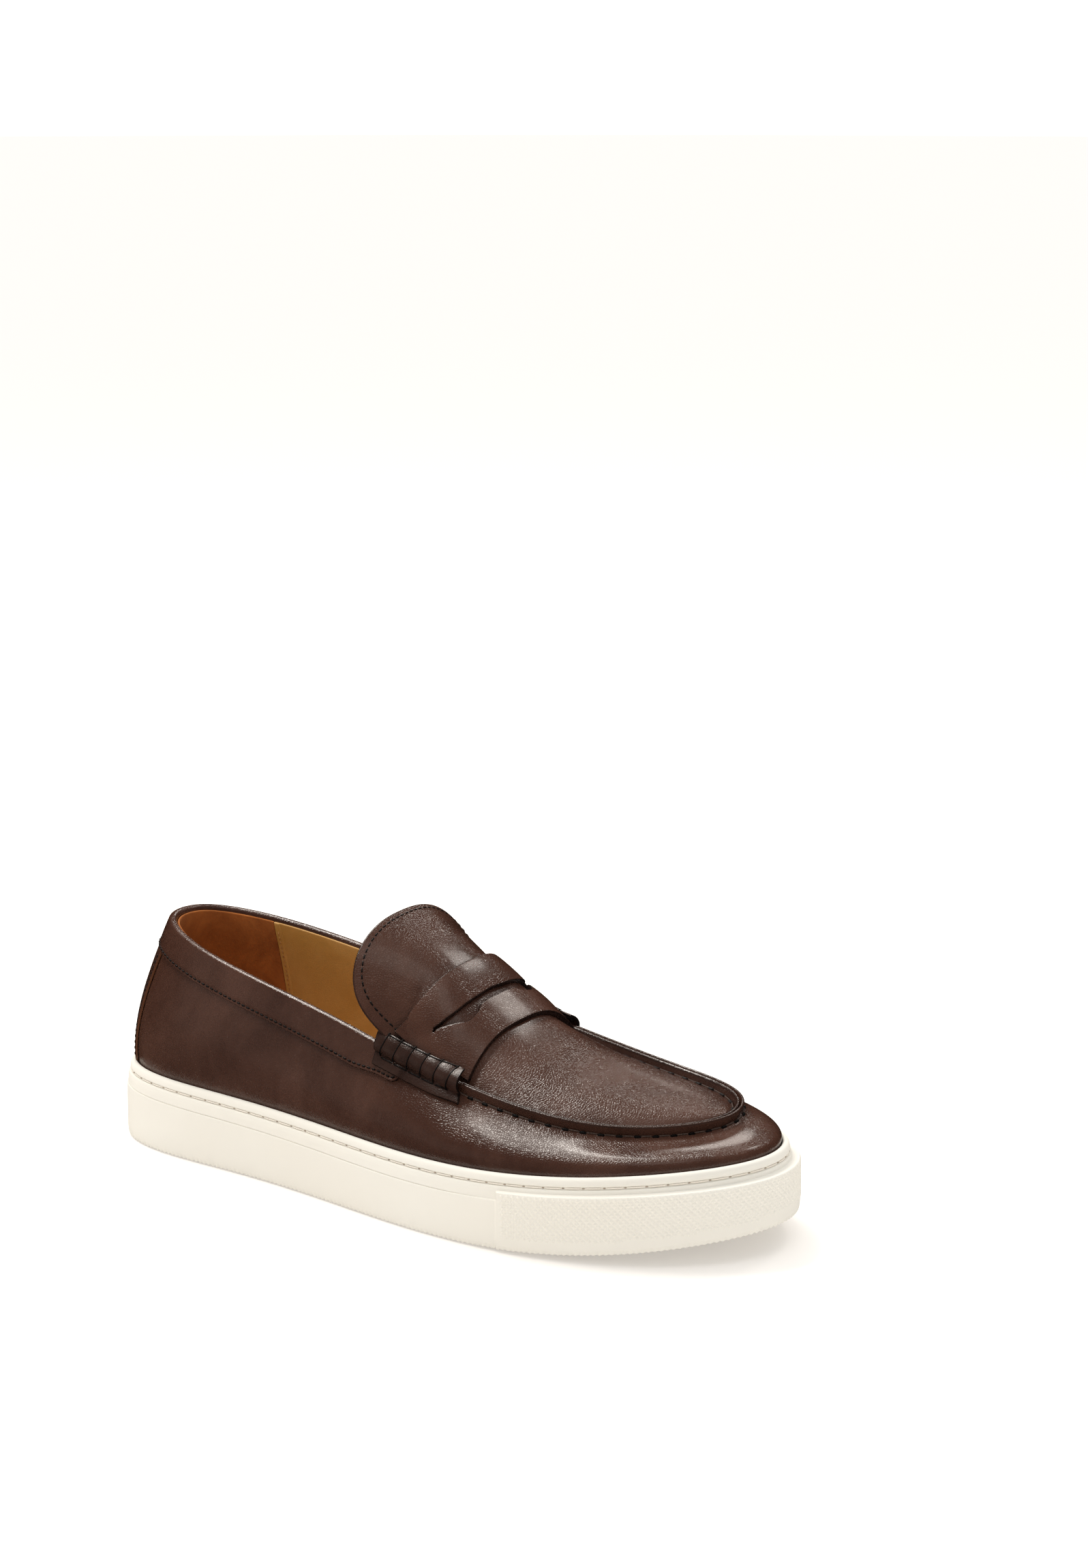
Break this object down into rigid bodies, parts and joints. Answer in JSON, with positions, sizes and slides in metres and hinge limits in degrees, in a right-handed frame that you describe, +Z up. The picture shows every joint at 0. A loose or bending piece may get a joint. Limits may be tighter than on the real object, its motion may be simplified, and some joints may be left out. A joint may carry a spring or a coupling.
{
  "type": "penny loafer",
  "caption": "Brown leather penny loafer with a moccasin seam, slotted strap, beefrolls and collar strip, on a pale rubber cup sole. Right shoe of a pair.",
  "frame": {"origin": "centre of the shoe's bounding box on the floor, under the waist of the sole", "axes": "+Y from the heel to the toe, +X to the outer (lateral) side of this right shoe, +Z up"},
  "size_m": [0.1118, 0.3101, 0.1093],
  "materials": {
    "sole_rubber": "off-white moulded rubber, matt",
    "brown_leather": "dark brown smooth leather, semi-gloss",
    "suede": "orange-brown suede",
    "tan_leather": "tan lining leather, matt",
    "fibreboard": "pressed cellulose board",
    "foam": "closed-cell foam",
    "brown_thread": "waxed sewing thread",
    "cream_thread": "cream sewing thread of the sole"
  },
  "bodies": {
    "root": {"cup_outsole": "sole_rubber", "midsole_filler": "foam", "insole_board": "fibreboard", "footbed_foam": "foam", "sock_lining": "tan_leather", "sole_thread": "cream_thread", "vamp_panel": "brown_leather", "medial_quarter": "brown_leather", "heel_stay": "brown_leather", "heel_counter": "fibreboard", "toe_puff": "fibreboard", "heel_lining": "suede", "lateral_quarter_lining": "tan_leather", "vamp_lining": "tan_leather", "medial_quarter_lining": "tan_leather", "collar_strip": "brown_leather", "collar_thread": "brown_thread", "apron_plug": "brown_leather", "plug_lining": "tan_leather", "tongue_thread": "brown_thread", "apron_thread_outer": "brown_thread", "apron_thread_inner": "brown_thread", "penny_strap": "brown_leather", "beefroll_lateral": "brown_leather", "beefroll_core_lateral": "brown_thread", "beefroll_thread_lateral": "brown_thread", "beefroll_medial": "brown_leather", "beefroll_core_medial": "brown_thread", "beefroll_thread_medial": "brown_thread"}
  },
  "joints": []
}
